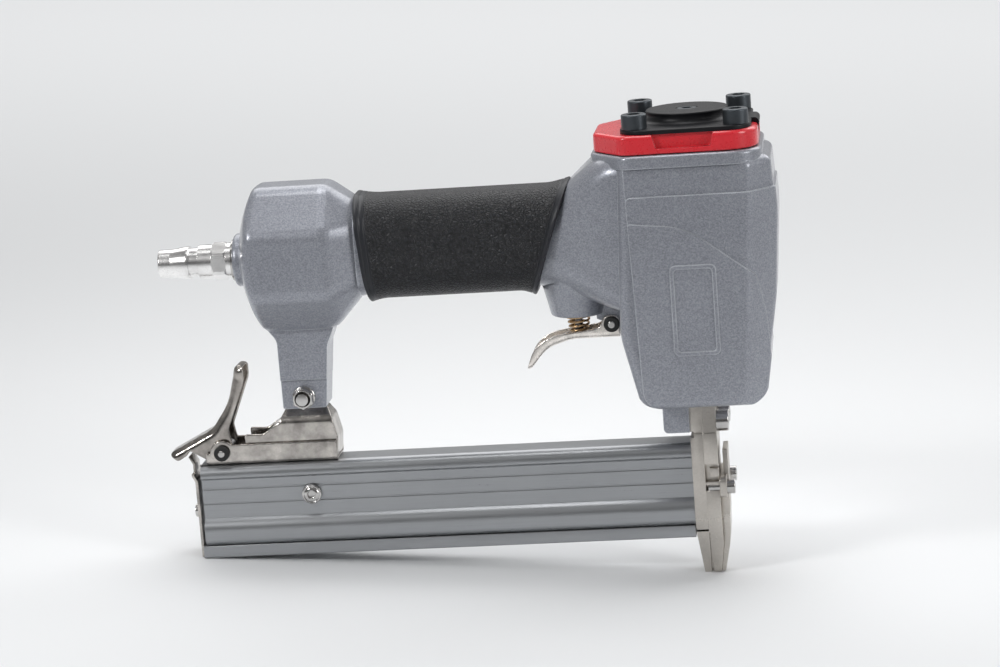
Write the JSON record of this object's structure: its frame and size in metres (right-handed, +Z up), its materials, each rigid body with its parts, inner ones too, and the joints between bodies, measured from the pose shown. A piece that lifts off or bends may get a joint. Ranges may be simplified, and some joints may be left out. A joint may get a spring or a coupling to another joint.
{
  "type": "pneumatic brad nailer",
  "caption": "Pneumatic brad nailer with a rubber grip, trigger, red cylinder cap, quick air plug and a sliding magazine under the handle, closed by a spring latch.",
  "frame": {"origin": "on the floor, under the middle of the tool's box, with the tool standing on the heel of its nose and on the rear edge of its magazine foot", "axes": "+X forward from the air plug to the head, +Z up, +Y to the tool's left"},
  "size_m": [0.2512, 0.0614, 0.1928],
  "materials": {
    "hammertone_grey": "grey hammertone paint over die-cast aluminium, soft gloss",
    "grip_rubber": "moulded black rubber with fine leather grain",
    "red_paint": "gloss red paint over cast aluminium",
    "black_plastic": "glossy black moulded plastic",
    "black_oxide": "black oxide on steel, satin",
    "seal_rubber": "matt black rubber",
    "valve_plastic": "natural white acetal",
    "spring_steel": "bright drawn spring wire",
    "machined_aluminium": "machined, satin",
    "hardened_steel": "ground hardened steel",
    "brass": "turned brass",
    "bright_nickel": "polished nickel plating",
    "pin_steel": "darkened steel",
    "satin_nickel": "bead-blasted satin nickel",
    "zinc_screw": "bright zinc plating",
    "anodised_aluminium": "extruded, matt clear anodised",
    "nickel_sheet": "nickel plated stamped sheet"
  },
  "bodies": {
    "tool_body": {"body_casting": "hammertone_grey", "grip_sleeve": "grip_rubber", "cap_gasket": "seal_rubber", "cylinder_cap": "red_paint", "exhaust_cover": "black_plastic", "cap_screws": "black_oxide", "drum_screw": "black_oxide", "head_valve_spring": "spring_steel", "cylinder_sleeve": "machined_aluminium", "sleeve_seal": "seal_rubber", "sleeve_collar": "machined_aluminium", "collar_seal": "seal_rubber", "bumper": "seal_rubber", "inlet_bush": "brass", "air_plug": "bright_nickel", "trigger_valve_body": "brass", "trigger_valve_seals": "seal_rubber", "trigger_spring": "brass", "trigger_pin": "pin_steel", "trigger_pin_rings": "seal_rubber", "magazine_seat_plate": "satin_nickel", "driver_guide": "satin_nickel", "front_cover": "satin_nickel", "cover_screws": "zinc_screw", "nose_screws": "zinc_screw", "fixed_magazine": "anodised_aluminium", "side_screw": "zinc_screw", "bracket_channel": "nickel_sheet", "channel_screws": "zinc_screw", "bracket_post": "nickel_sheet", "leg_bolt": "zinc_screw", "leg_nut": "zinc_screw", "latch_pin": "pin_steel", "latch_pin_rings": "seal_rubber", "latch_spring": "spring_steel"},
    "trigger": {"trigger": "bright_nickel"},
    "valve_stem": {"valve_stem": "hardened_steel"},
    "driver": {"piston": "hardened_steel", "piston_ring": "seal_rubber", "driver_blade": "hardened_steel"},
    "head_valve": {"head_valve": "valve_plastic", "head_valve_seal": "seal_rubber", "head_valve_ring": "seal_rubber"},
    "magazine_slide": {"movable_magazine": "anodised_aluminium", "end_plate": "nickel_sheet", "end_plate_screws": "zinc_screw", "guide_rod": "hardened_steel", "pusher_spring": "spring_steel"},
    "pusher": {"brad_pusher": "hardened_steel"},
    "latch_lever": {"latch_lever": "nickel_sheet"}
  },
  "joints": [
    {"name": "trigger_pull", "type": "hinge", "parent": "tool_body", "child": "trigger", "pos_m": [0.05985, 0, 0.10258], "axis": [0, 1, 0], "range_deg": [0, 10], "stiffness_Nm_per_rad": 0.12, "springref_deg": -11.46, "deforming": ["trigger_spring"]},
    {"name": "valve_stem_lift", "type": "slide", "parent": "tool_body", "child": "valve_stem", "axis": [-0.0776, 0, 0.997], "range_m": [0, 0.00242]},
    {"name": "driver_stroke", "type": "slide", "parent": "tool_body", "child": "driver", "axis": [0.0776, 0, -0.997], "range_m": [0, 0.052]},
    {"name": "head_valve_lift", "type": "slide", "parent": "tool_body", "child": "head_valve", "axis": [-0.0776, 0, 0.997], "range_m": [0, 0.004], "stiffness_N_per_m": 300, "springref_m": -0.006, "deforming": ["head_valve_spring"]},
    {"name": "magazine_pull", "type": "slide", "parent": "tool_body", "child": "magazine_slide", "axis": [-0.997, 0, -0.0776], "range_m": [0, 0.13]},
    {"name": "pusher_travel", "type": "slide", "parent": "magazine_slide", "child": "pusher", "axis": [-0.997, 0, -0.0776], "range_m": [0, 0.118], "stiffness_N_per_m": 30, "springref_m": -0.05, "deforming": ["pusher_spring"]},
    {"name": "latch_swing", "type": "hinge", "parent": "tool_body", "child": "latch_lever", "pos_m": [-0.09926, 0, 0.04495], "axis": [0, 1, 0], "range_deg": [0, 16], "stiffness_Nm_per_rad": 0.15, "springref_deg": -11.46, "deforming": ["latch_spring"]}
  ],
  "couplings": [
    {"joint": "valve_stem_lift", "follows": "trigger_pull", "m_per_rad": 0.0137}
  ]
}
